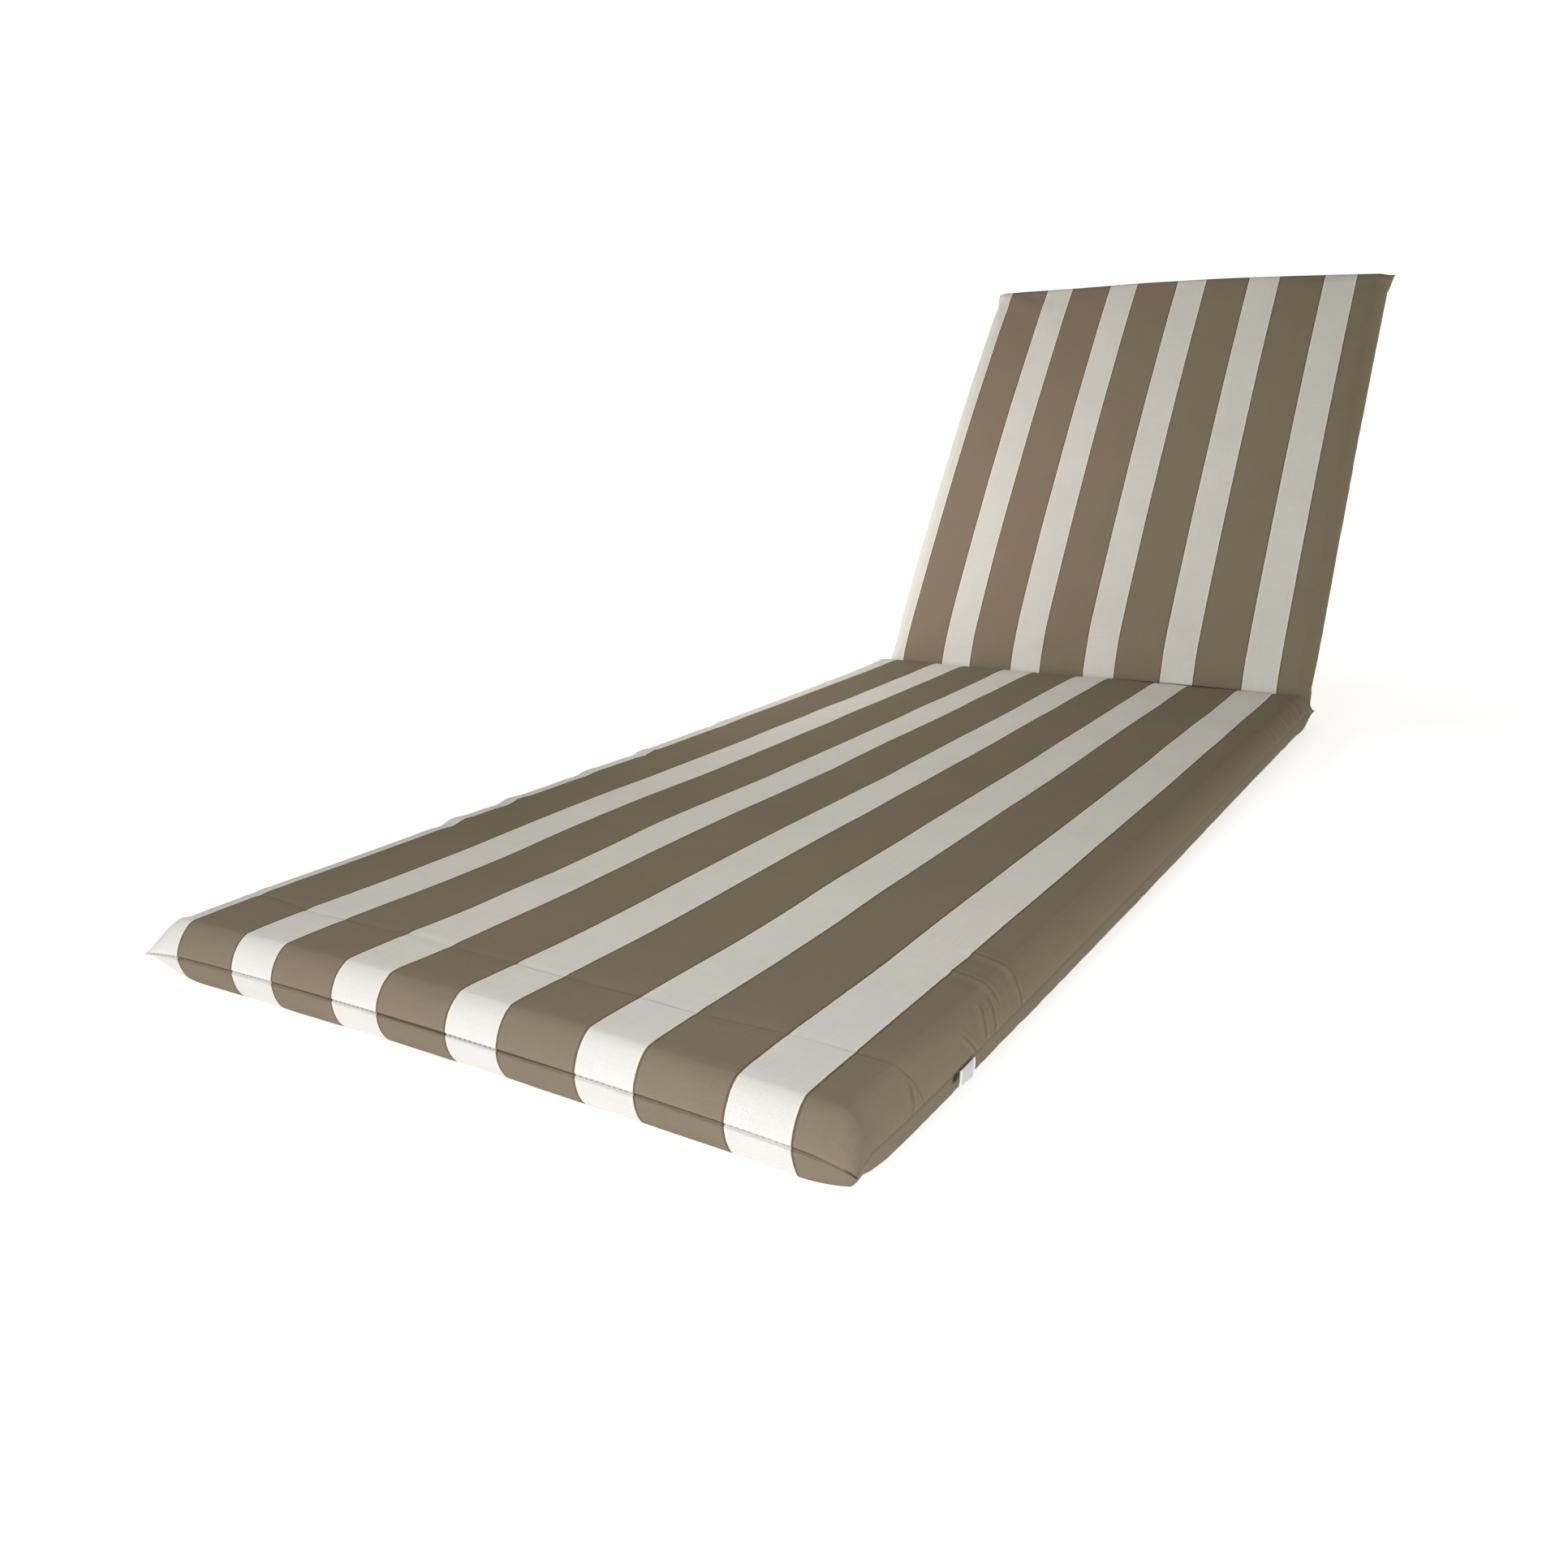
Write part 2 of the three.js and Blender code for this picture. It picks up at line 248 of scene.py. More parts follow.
def end_rows(rows_at, start, inward, ear, left_extra):
    """Rows round a sewn end, from its seam inwards."""
    turn = np.linspace(0, math.pi / 2, ROUND_STEPS + 1)
    in_top = round_distance(turn, TOP_ROUND)
    in_under = round_distance(turn, UNDER_ROUND)
    in_seam = (in_top + in_under) / 2
    dying = np.exp(-in_seam / EAR_LENGTH)
    rows = widened(rows_at(start + inward * in_top), ear * dying, left_extra * dying)
    rows["seam"] = start + inward * in_seam
    rows["under"] = start + inward * in_under
    rows["fullness"] = round_height(turn)
    rows["endward"] = -inward * ear * np.ones_like(turn)
    return rows


def hinge_rows(rows_at, start, stitch_start, inward):
    """Rows down one flank of the sewn channel, from the crease outwards."""
    turn = np.linspace(0, math.pi / 2, HINGE_STEPS + 1)[1:]
    in_under = round_distance(turn, CHANNEL_ROUND)
    in_top = np.linspace(0, 1, HINGE_STEPS + 1)[1:] * (CHANNEL_ROUND + HINGE_SHIFT)
    rows = widened(rows_at(start + inward * in_top), HINGE_EAR * np.exp(-in_top / EAR_LENGTH))
    rows["under"] = stitch_start + inward * in_under
    rows["under_height"] = mix(STITCH_CORE, rows["under_height"], round_height(turn))
    return rows


def crease_row():
    row = widened(seat_rows(SEAT_LENGTH), HINGE_EAR)
    row["under"] = row["under"] + HINGE_SHIFT
    row["under_height"] = np.array([STITCH_CORE])
    return row


def flipped(rows):
    return {key: values[::-1] for key, values in rows.items()}


def between(start, end, steps):
    """Places from start to end, without both, spaced as steps says up to each distance."""
    places = [start]
    for until, step in steps:
        stop = min(until, end)
        if stop > places[-1]:
            count = max(1, round((stop - places[-1]) / step))
            places.extend(np.linspace(places[-1], stop, count + 1)[1:])
    return np.array(places[1:-1])


hinge_reach = CHANNEL_ROUND + HINGE_SHIFT
parts = [
    end_rows(seat_rows, 0, 1, FOOT_EAR, FOOT_LEFT_EXTRA),
    seat_rows(between(TOP_ROUND, SEAT_LENGTH - hinge_reach, SEAT_STEPS)),
    flipped(hinge_rows(seat_rows, SEAT_LENGTH, SEAT_LENGTH + HINGE_SHIFT, -1)),
    crease_row(),
    hinge_rows(back_rows, 0, -HINGE_SHIFT, 1),
    back_rows(between(hinge_reach, BACK_LENGTH - TOP_ROUND, BACK_STEPS)),
    flipped(end_rows(back_rows, BACK_LENGTH, -1, HEAD_EAR, 0)),
]
rows = {key: np.concatenate([part[key] for part in parts])[:, None] for key in parts[0]}
crease = sum(len(part["top"]) for part in parts[:3])

edge_turn = np.linspace(0, math.pi / 2, ROUND_STEPS + 1)
inner = np.linspace(0, 1, ACROSS_STEPS + 1)[1:-1]
turn = np.concatenate([edge_turn, np.full(len(inner), math.pi / 2), edge_turn[::-1]])[None, :]
share = np.concatenate([0 * edge_turn, inner, 0 * edge_turn + 1])[None, :]


def layer_points(side):
    """Points of the top layer (side 1) or the under layer (side -1), and where the stripes are."""
    width = TOP_ROUND if side > 0 else UNDER_ROUND
    from_seam = round_distance(turn, width)
    left, right = rows["left"], rows["right"]
    x = mix(left + width, right - width, share)
    x = np.where(share == 0, left + from_seam, np.where(share == 1, right - from_seam, x))
    across = (2 * x - left - right) / (right - left)
    bulge = 1 - across**2
    to_side = (right - left) * (0.5 - np.abs(across) / 2)
    corner = np.maximum(0, 1 - (to_side + rows["to_end"]) / CORNER_REACH) ** 2
    thinned = 1 if side > 0 else 1 - CORNER_SOFTNESS * corner
    full = round_height(turn) * rows["fullness"] * thinned
    if side > 0:
        height = (rows["top_height"] + rows["top_crown"] * bulge) * full
    else:
        height = (rows["under_crown"] * bulge - rows["under_height"]) * full
    ear = np.exp(-to_side / EAR_LENGTH)
    layer = rows["top"] if side > 0 else rows["under"]
    skewed = 1 + (BACK_LEFT_EXTRA * np.maximum(0, -across) ** 2 - BACK_SKEW * across) * rows["back"]
    along = mix(rows["seam"], layer, round_height(turn)) * skewed
    along = along + rows["endward"] * (1 - rows["fullness"]) * ear
    tilt = mix(rows["under_tilt"], rows["top_tilt"], full) if side > 0 else rows["under_tilt"]
    height = height - rows["droop"] * ear * (1 - rows["fullness"]) - rows["drop"]
    height = height + rows["lift"] * bulge + tilt * (1 + across)
    seat_y, seat_z = seat_place(along, height)
    back_y, back_z = back_place(along, height)
    on_back = rows["back"] > 0.5
    y = np.where(on_back, back_y, seat_y)
    z = np.where(on_back, back_z, seat_z)
    stripe = x - np.where(on_back, BACK_LEAN * along, 0)
    return np.stack([x, y, z], -1), np.clip(stripe, STRIPE_LEFT_END, STRIPE_RIGHT_END)


top, top_stripe = layer_points(1)
under, under_stripe = layer_points(-1)
for edge in (np.s_[0, :], np.s_[-1, :], np.s_[:, 0], np.s_[:, -1]):
    under[edge] = top[edge]
    under_stripe[edge] = top_stripe[edge]


def lengths(points, axis):
    """Distance run along one direction of the grid, from its first line."""
    step = np.linalg.norm(np.diff(points, axis=axis), axis=-1)
    run = np.cumsum(step, axis=axis)
    return np.concatenate([np.zeros_like(np.take(run, [0], axis=axis)), run], axis=axis)


def cloth_of(points, stripe):
    """Cloth coordinates of a layer: u across, v from the crease, and distances along the cloth."""
    along, across = lengths(points, 0), lengths(points, 1)
    to_foot, to_head = along, along[-1:] - along
    to_left, to_right = across, across[:, -1:] - across
    to_side = np.minimum(to_left, to_right)
    to_end = np.minimum(to_foot, to_head)
    seam = np.minimum(to_side, to_end)
    v = along - along[crease : crease + 1]
    return dict(u=stripe, v=v, side=to_side, end=to_end, seam=seam, right=to_right < to_left)


top_cloth = cloth_of(top, top_stripe)
under_cloth = cloth_of(under, under_stripe)


def normals_of(points, side):
    across = np.gradient(points, axis=1)
    along = np.gradient(points, axis=0)
    n = np.cross(across, along) * side
    return n / np.maximum(np.linalg.norm(n, axis=-1, keepdims=True), 1e-12)


def quads_of(index, side):
    a, b, c, d = index[:-1, :-1], index[:-1, 1:], index[1:, 1:], index[1:, :-1]
    order = (a, b, c, d) if side > 0 else (a, d, c, b)
    return np.stack(order, -1).reshape(-1, 4)


def closed_grid(name, above, below):
    """A closed mesh of two layers that share their rim, and which lower points are its own."""
    index = np.arange(above.shape[0] * above.shape[1]).reshape(above.shape[:2])
    inside = np.zeros(index.shape, bool)
    inside[1:-1, 1:-1] = True
    below_index = index.copy()
    below_index[inside] = index.size + np.arange(inside.sum())
    points = np.concatenate([above.reshape(-1, 3), below[inside]])
    quads = np.concatenate([quads_of(index, 1), quads_of(below_index, -1)])
    mesh = bpy.data.meshes.new(name)
    mesh.from_pydata(points.tolist(), [], quads.tolist())
    mesh.polygons.foreach_set("use_smooth", np.ones(len(quads), bool))
    mesh.update()
    return mesh, inside


# The filled cover settles as cloth
SIM_FRAMES = 16
SIM_SKIP = 3  # one column of points in this many takes part, away from the edges
SIM_CAP = 0.0015  # no point moves further
SIM_PRESSURE = 0.12
SIM_SLACK = 0.06  # share by which the cloth beside the seams is too wide
SIM_SLACK_WIDTH = 0.045
SIM_SLACK_ELSEWHERE = 0.1
SIM_SEWN_WIDTH = 0.0005  # points this near a seam or the crease are held fast
SIM_HELD_ELSEWHERE = 0.08
SIM_CLOTH = dict(
    quality=4,
    mass=0.25,
    tension_stiffness=30,
    compression_stiffness=30,
    shear_stiffness=12,
    bending_stiffness=0.05,
    use_pressure=True,
    uniform_pressure_force=SIM_PRESSURE,
    vertex_group_mass="held",
    pin_stiffness=1.0,
    vertex_group_shrink="slack",
    shrink_min=0.0,
    shrink_max=-SIM_SLACK,
)


def settle(above, below):
    """Lets the cover settle over its filling, sewn fast at the seams, and returns both layers."""
    inner_columns = np.arange(ROUND_STEPS + 1, above.shape[1] - ROUND_STEPS - 1)
    skipped = inner_columns[inner_columns % SIM_SKIP > 0]
    kept = np.setdiff1d(np.arange(above.shape[1]), skipped)
    mesh, inside = closed_grid("settling", above[:, kept], below[:, kept])
    piece = bpy.data.objects.new("settling", mesh)
    bpy.context.scene.collection.objects.link(piece)

    def both(key):
        return np.concatenate([top_cloth[key][:, kept].ravel(), under_cloth[key][:, kept][inside]])

    seam = both("seam")
    near = np.minimum(seam, np.abs(both("v")))
    held = np.where(near < SIM_SEWN_WIDTH, 1.0, SIM_HELD_ELSEWHERE)
    slack = bump(seam, SIM_SLACK_WIDTH) * (1 - SIM_SLACK_ELSEWHERE) + SIM_SLACK_ELSEWHERE
    for name, weights in (("held", held), ("slack", slack)):
        group = piece.vertex_groups.new(name=name)
        for level in np.unique(np.round(weights, 2)):
            members = np.nonzero(np.round(weights, 2) == level)[0]
            group.add(members.tolist(), float(level), "REPLACE")
    cloth = piece.modifiers.new("cloth", "CLOTH")
    for key, value in SIM_CLOTH.items():
        setattr(cloth.settings, key, value)
    cloth.settings.effector_weights.gravity = 0
    cloth.collision_settings.use_collision = False
    scene = bpy.context.scene
    cloth.point_cache.frame_start, cloth.point_cache.frame_end = 1, SIM_FRAMES
    for number in range(1, SIM_FRAMES + 1):
        scene.frame_set(number)
    result = piece.evaluated_get(bpy.context.evaluated_depsgraph_get()).to_mesh()
    moved = np.empty(len(result.vertices) * 3)
    result.vertices.foreach_get("co", moved)
    start = np.empty(len(mesh.vertices) * 3)
    mesh.vertices.foreach_get("co", start)
    move = (moved - start).reshape(-1, 3)
    size = np.linalg.norm(move, axis=1, keepdims=True)
    move = move * np.minimum(1, SIM_CAP * np.tanh(size / SIM_CAP) / np.maximum(size, 1e-9))
    scene.frame_set(1)
    bpy.data.objects.remove(piece)
    bpy.data.meshes.remove(mesh)
    upper = move[: inside.size].reshape(*inside.shape, 3)
    lower = upper.copy()
    lower[inside] = move[inside.size :]
    columns = np.arange(above.shape[1])

    def all_columns(grid):
        lines = [[np.interp(columns, kept, line[:, axis]) for axis in range(3)] for line in grid]
        return np.stack(lines).transpose(0, 2, 1)

    return above + all_columns(upper), below + all_columns(lower)


# Relief of the filled cover.
# The faint fold across the seat: places across, and their distances from the foot seam
FOLD_LINE = (
    (-0.30, 0.095), (-0.19, 0.080), (-0.09, 0.083),
    (0.11, 0.077), (0.21, 0.083), (0.28, 0.087),
)
FOLD_WIDTH = 0.0034
FOLD_DEPTH = 0.0007
FOLD_RIM_HEIGHT, FOLD_RIM_WIDTH = 0.0003, 0.007
FOLD_RIM_AWAY = 2.2  # fold widths
FOLD_WANDER, FOLD_WANDER_CELL = 0.0015, 0.04
FOLD_STRENGTH, FOLD_STRENGTH_CHANGE, FOLD_STRENGTH_CELL = 0.75, 0.35, 0.07
FOLD_SIDE_FADE = 0.012
# Small folds on the sides: place along and distance from the side seam of both ends, width, height
RIGHT_FOLDS = (
    (-1.114, 0.016, -1.126, -0.003, 0.0028, 0.0014),
    (-1.045, 0.016, -1.036, -0.006, 0.0032, 0.0011),
    (-1.010, 0.020, -1.024, 0.001, 0.0036, 0.0012),
    (-0.996, 0.021, -1.011, -0.001, 0.0034, 0.0011),
    (-0.955, 0.023, -0.968, -0.002, 0.0038, 0.0010),
    (-0.980, 0.056, -0.990, 0.015, 0.0045, 0.0008),
    (-0.947, 0.054, -0.957, 0.017, 0.0045, 0.0008),
    (-0.190, 0.024, -0.198, 0.004, 0.0090, 0.0012),
    (-0.118, 0.026, -0.124, 0.003, 0.0060, 0.0014),
    (-0.078, 0.026, -0.084, 0.003, 0.0055, 0.0015),
    (-0.046, 0.030, -0.056, 0.002, 0.0050, 0.0018),
)
LEFT_FOLDS = (
    (-0.889, 0.044, -0.897, 0.010, 0.0095, 0.0018),
    (-0.817, 0.050, -0.824, 0.012, 0.0095, 0.0016),
    (-0.700, 0.040, -0.706, 0.010, 0.0110, 0.0012),
    (-0.605, 0.044, -0.613, 0.010, 0.0095, 0.0016),
    (-0.450, 0.040, -0.456, 0.010, 0.0110, 0.0011),
)
STROKE_END = 0.008  # a small fold runs out over about this length at each end
FURROW_SHARE = 0.7  # of the fold's height, in the furrow beside it
FURROW_AWAY = 1.7  # fold widths
# Dents all over, which die out at the seams: height and cells of their noise
DENT_HEIGHT, DENT_CELLS = 0.0010, (0.11, 0.17)
SMALL_DENT_HEIGHT, SMALL_DENT_CELLS = 0.0004, (0.045, 0.06)
DENT_FADE = 0.05
# Puckers beside the side seams, in patches
PUCKER_HEIGHT, PUCKER_CELLS = 0.00055, (0.011, 0.05)
FINE_PUCKER_SHARE, FINE_PUCKER_CELLS = 0.5, (0.006, 0.03)
PUCKER_LEAN = 0.35
PUCKER_REACH, PUCKER_START, PUCKER_END_FADE = 0.024, 0.006, 0.03
PATCH_LOW, PATCH_CONTRAST, PATCH_CELL = 0.25, 0.9, 0.11
# Puckers beside the end seams, and gathers beside the crease
END_PUCKER_HEIGHT, END_PUCKER_CELLS = 0.00022, (0.012, 0.04)
END_PUCKER_REACH, END_PUCKER_START, END_PUCKER_SIDE_FADE = 0.02, 0.004, 0.03
GATHER_HEIGHT, GATHER_CELLS = 0.0005, (0.014, 0.04)
GATHER_LEAN = 0.2
GATHER_REACH, GATHER_START, GATHER_SIDE_FADE = 0.018, 0.003, 0.02
# The crease is stitched through: a narrow valley, deeper towards the hinge ears
CREASE_DEPTH, CREASE_WIDTH = 0.0026, 0.0032
CREASE_EAR_EXTRA, CREASE_EAR_REACH = 0.8, 0.02
SIDE_SEAM_FADE = 0.003  # folds and crease die out this near the side seam
# The seam is drawn in to a narrow groove, deeper at the ends than along the sides
END_GROOVE = 0.0010
SIDE_GROOVE = 0.0003
# Seeds of the noise
FOLD_SEEDS = (5, 6)
TOP_SEED, UNDER_SEED = 11, 41


def fold_relief(cloth, from_foot):
    """Relief of the fold across the seat, and the signed distance from it."""
    xs, ys = zip(*FOLD_LINE)
    u, flat = cloth["u"], 0 * cloth["u"]
    wander = FOLD_WANDER * noise(u, flat, FOLD_WANDER_CELL, 1, FOLD_SEEDS[0])
    away = from_foot - np.interp(u, xs, ys) - wander
    change = FOLD_STRENGTH_CHANGE * noise(u, flat, FOLD_STRENGTH_CELL, 1, FOLD_SEEDS[1])
    strength = (FOLD_STRENGTH + change) * smooth(cloth["side"] / FOLD_SIDE_FADE)
    rim = FOLD_RIM_HEIGHT * bump(away - FOLD_RIM_AWAY * FOLD_WIDTH, FOLD_RIM_WIDTH)
    return strength * (rim - FOLD_DEPTH * bump(away, FOLD_WIDTH)), away


def stroke_relief(cloth, folds, right):
    """Relief of short folds, the signed distance from the nearest one, and its strength there."""
    total, nearest, strength = 0, 0 * cloth["u"] + 1, 0 * cloth["u"]
    for v0, s0, v1, s1, width, height in folds:
        dv, ds = v1 - v0, s1 - s0
        length = math.hypot(dv, ds)
        a, b = cloth["v"] - v0, cloth["side"] - s0
        run = (a * dv + b * ds) / length
        away = (a * ds - b * dv) / length
        inside = smooth(run / STROKE_END + 0.5) * smooth((length - run) / STROKE_END + 0.5)
        furrow = FURROW_SHARE * bump(away - FURROW_AWAY * width, width)
        total = total + height * inside * (bump(away, width) - furrow)
        closer = (np.abs(away) < np.abs(nearest)) & (inside > 0)
        nearest = np.where(closer, away, nearest)
        strength = np.where(closer, inside, strength)
    there = cloth["right"] == right
    return total * there, nearest, strength * there


def relief(cloth, seed):
    """Relief of one layer: dents, puckers beside the seams and gathers beside the crease."""
    u, v, seam, side, end = (cloth[key] for key in ("u", "v", "seam", "side", "end"))
    dents = DENT_HEIGHT * noise(u, v, *DENT_CELLS, seed)
    dents = dents + SMALL_DENT_HEIGHT * noise(u, v, *SMALL_DENT_CELLS, seed + 1)
    dents = dents * smooth(seam / DENT_FADE)
    patch = noise(v, 0 * v, PATCH_CELL, 1, seed + 2)
    patch = mix(PATCH_LOW, 1, smooth(0.5 + PATCH_CONTRAST * patch))
    lean = v + PUCKER_LEAN * side
    pucker = noise(lean, side, *PUCKER_CELLS, seed + 3)
    pucker = pucker + FINE_PUCKER_SHARE * noise(lean, side, *FINE_PUCKER_CELLS, seed + 4)
    pucker = PUCKER_HEIGHT * pucker * patch * np.exp(-side / PUCKER_REACH)
    pucker = pucker * smooth(side / PUCKER_START) * smooth(end / PUCKER_END_FADE)
    tight = END_PUCKER_HEIGHT * noise(u, end, *END_PUCKER_CELLS, seed + 5)
    tight = tight * np.exp(-end / END_PUCKER_REACH)
    tight = tight * smooth(end / END_PUCKER_START) * smooth(side / END_PUCKER_SIDE_FADE)
    hinge = np.abs(v)
    gathers = GATHER_HEIGHT * noise(u + GATHER_LEAN * hinge, hinge, *GATHER_CELLS, seed + 6)
    gathers = gathers * np.exp(-hinge / GATHER_REACH)
    gathers = gathers * smooth(hinge / GATHER_START) * smooth(side / GATHER_SIDE_FADE)
    return dents + pucker + tight + gathers


fold, fold_away = fold_relief(top_cloth, lengths(top, 0))
right_folds, stroke_away, stroke_strength = stroke_relief(top_cloth, RIGHT_FOLDS, True)
left_folds = stroke_relief(top_cloth, LEFT_FOLDS, False)[0]
off_side = smooth(top_cloth["side"] / SIDE_SEAM_FADE)
top_relief = relief(top_cloth, TOP_SEED) + fold + right_folds * off_side + left_folds
deeper = 1 + CREASE_EAR_EXTRA * np.exp(-top_cloth["side"] / CREASE_EAR_REACH)
valley = CREASE_DEPTH * deeper * off_side * bump(top_cloth["v"], CREASE_WIDTH)
top_relief = top_relief - valley
under_relief = relief(under_cloth, UNDER_SEED)

top = top + normals_of(top, 1) * top_relief[..., None]
under = under + normals_of(under, -1) * under_relief[..., None]

top, under = settle(top, under)

rim = (normals_of(top, 1) + normals_of(under, -1)) / 2
rim = rim / np.maximum(np.linalg.norm(rim, axis=-1, keepdims=True), 1e-12)
for edge, groove in (
    (np.s_[:, 0], SIDE_GROOVE),
    (np.s_[:, -1], SIDE_GROOVE),
    (np.s_[0, 1:-1], END_GROOVE),
    (np.s_[-1, 1:-1], END_GROOVE),
):
    top[edge] = top[edge] - rim[edge] * groove
    under[edge] = top[edge]
under[..., 2] = np.maximum(under[..., 2], 0.0)
top[..., 2] = np.maximum(top[..., 2], 0.0)

# Painted shadow in the gap beside the tab: its middle and its reach along each axis
TAB_PAINTED_SHADOW = np.array([0.294, -0.4680, 0.0185])
TAB_PAINTED_SHADOW_REACH = np.array([0.012, 0.0042, 0.0034])


def cushion_mesh(name):
    """The cover, with all that its material reads as vectors on its points."""
    mesh, inside = closed_grid(name, top, under)
    fields = {}
    for key in ("u", "v", "seam", "side", "end"):
        fields[key] = np.concatenate([top_cloth[key].ravel(), under_cloth[key][inside]])
    below = np.ones(inside.sum())
    layer = np.concatenate([np.ones(inside.size), -below])
    along_seam = np.where(fields["side"] < fields["end"], fields["v"], fields["u"])
    points = np.concatenate([top.reshape(-1, 3), under[inside]])
    # painted shadow beside the tab: distance from its middle, in reaches
    tab_painted_shadow = np.linalg.norm((points - TAB_PAINTED_SHADOW) / TAB_PAINTED_SHADOW_REACH, axis=1)
    fold_away_all = np.concatenate([fold_away.ravel(), below])
    stroke_away_all = np.concatenate([stroke_away.ravel(), below])
    stroke_strength_all = np.concatenate([stroke_strength.ravel(), 0 * below])
    for attribute, columns in (
        ("cloth", (fields["u"], fields["v"], layer)),
        ("sewn", (fields["seam"], along_seam, tab_painted_shadow)),
        ("place", (fields["side"], fields["end"], fold_away_all)),
        ("folded", (stroke_away_all, stroke_strength_all, 0 * layer)),
    ):
        data = mesh.attributes.new(attribute, "FLOAT_VECTOR", "POINT")
        data.data.foreach_set("vector", np.stack(columns, -1).astype(np.float32).ravel())
    return mesh


class Nodes:
    """A material's node tree, with short calls for the nodes it uses most."""

    def __init__(self, name):
        self.material = bpy.data.materials.new(name)
        self.material.use_nodes = True
        self.tree = self.material.node_tree
        self.shader = self.tree.nodes["Principled BSDF"]

    def new(self, kind, **settings):
        node = self.tree.nodes.new(kind)
        for key, value in settings.items():
            setattr(node, key, value)
        return node

    def put(self, value, socket):
        if isinstance(value, bpy.types.NodeSocket):
            self.tree.links.new(value, socket)
        else:
            socket.default_value = value

    def math(self, operation, *values):
        node = self.new("ShaderNodeMath", operation=operation)
        for value, socket in zip(values, node.inputs):
            self.put(value, socket)
        return node.outputs[0]

    def times(self, first, *others):
        for other in others:
            first = self.math("MULTIPLY", first, other)
        return first

    def plus(self, first, *others):
        for other in others:
            first = self.math("ADD", first, other)
        return first

    def minus(self, first, second):
        return self.math("SUBTRACT", first, second)

    def absolute(self, value):
        return self.math("ABSOLUTE", value)

    def step(self, value, low, high, to_low=0.0, to_high=1.0):
        """Smoothly from to_low to to_high, as the value goes from low to high."""
        node = self.new("ShaderNodeMapRange", interpolation_type="SMOOTHSTEP")
        for item, socket in zip((value, low, high, to_low, to_high), node.inputs):
            self.put(item, socket)
        return node.outputs[0]

    def colours(self, share, first, second, blend="MIX"):
        node = self.new("ShaderNodeMix", data_type="RGBA", blend_type=blend)
        sockets = (node.inputs[0], node.inputs[6], node.inputs[7])
        for item, socket in zip((share, first, second), sockets):
            self.put(item, socket)
        return node.outputs[2]

    def noise(self, where, scale, detail=2.0, roughness=0.5):
        node = self.new("ShaderNodeTexNoise")
        self.put(where, node.inputs["Vector"])
        node.inputs["Scale"].default_value = scale
        node.inputs["Detail"].default_value = detail
        node.inputs["Roughness"].default_value = roughness
        return node.outputs[0]

    def attribute(self, name):
        node = self.new("ShaderNodeAttribute", attribute_name=name)
        split = self.new("ShaderNodeSeparateXYZ")
        self.tree.links.new(node.outputs["Vector"], split.inputs[0])
        return split.outputs

    def vector(self, *values):
        node = self.new("ShaderNodeCombineXYZ")
        for value, socket in zip(values, node.inputs):
            self.put(value, socket)
        return node.outputs[0]

    def shaded(self, colour, shade):
        return self.colours(1.0, colour, self.vector(shade, shade, shade), "MULTIPLY")

    def bumps(self, height, strength):
        node = self.new("ShaderNodeBump")
        node.inputs["Strength"].default_value = strength
        node.inputs["Distance"].default_value = 1.0
        self.put(height, node.inputs["Height"])
        self.put(node.outputs[0], self.shader.inputs["Normal"])


# The stripes, in metres across the cushion. A fade is a pair of distances, from none to full.
FIRST_STRIPE = -0.271
STRIPE_PITCH = 0.105
TAUPE_WIDTH = 0.0623
STRIPE_WAVER, STRIPE_WAVER_SCALE = 0.0006, 160.0
STRIPE_BLUR = 0.0003
DARK_EDGE_FADE, DARK_EDGE_SHARE = (0.0008, 0.0020), 0.75  # just inside the taupe
LIGHT_EDGE_FADE, LIGHT_EDGE_SHARE = (-0.0024, -0.0012), 0.6  # just outside it

# Colours. The dye drifts from a redder to an olive tone: redder towards the left of the back
TAUPE = (0.228, 0.173, 0.126, 1)
TAUPE_OLIVE = (0.211, 0.178, 0.117, 1)
# Painted light: the taupe is lighter and redder towards the foot end, where more light falls
TAUPE_FOOT_PAINTED_LIGHT = (0.234, 0.184, 0.135, 1)
TAUPE_EDGE = (0.090, 0.066, 0.046, 1)
CREAM = (0.720, 0.692, 0.624, 1)
CREAM_COOL = (0.704, 0.690, 0.630, 1)
# Painted shade: the cream on the back section is darker than on the seat
CREAM_BACK_PAINTED_SHADE = (0.640, 0.619, 0.548, 1)
CREAM_EDGE = (0.830, 0.735, 0.590, 1)
DRIFT_SCALE, DRIFT_RANGE = 5.0, (0.35, 0.65)
DRIFT_ON_BACK = 0.9  # for each metre to the right
DRIFT_ON_SEAT = 0.08
BACK_FADE = 0.05  # around the crease
FOOT_PAINTED_LIGHT_FADE, FOOT_PAINTED_LIGHT_SHARE = (-1.17, -0.92), 0.65

# Threads and slubs
THREAD = 0.0011
WEAVE_SHADE = 0.04
SLUBS_ALONG, SLUBS_ACROSS = 24.0, 900.0  # scales of their noise along and across a thread
SLUB_SHADE = 0.09
MOTTLE_SCALE, MOTTLE_SHADE = 14.0, 0.10
# Painted shade: the under layer's cloth is drawn darker
UNDERSIDE_PAINTED_SHADE = 0.90

# The sewn seam: a thin line of painted shade in its groove, with the thread showing as darker dashes on
# the cream
STITCH = 0.0042
SEAM_LINE = (0.0004, 0.0014)
SEAM_ON_TAUPE = 0.85
SEAM_ON_CREAM, DASH_ON_CREAM, DASH_EDGE = 0.45, 0.35, 0.3
SEAM_PAINTED_SHADE = 0.7
SIDE_SEAM_SHARE, SIDE_SEAM_BLUR = 0.10, 0.001  # it hardly shows at the sides
RIGHT_FROM = 0.01
CORNER_FADE, CORNER_SHARE = (0.014, 0.034), 0.9  # it runs out towards the right corner
# Painted shade in the crease, drawn on the back's side of its valley
CREASE_LINE_START, CREASE_LINE_END = (-0.004, -0.001), (0.0046, 0.0066)
CREASE_PAINTED_SHADE = 0.85
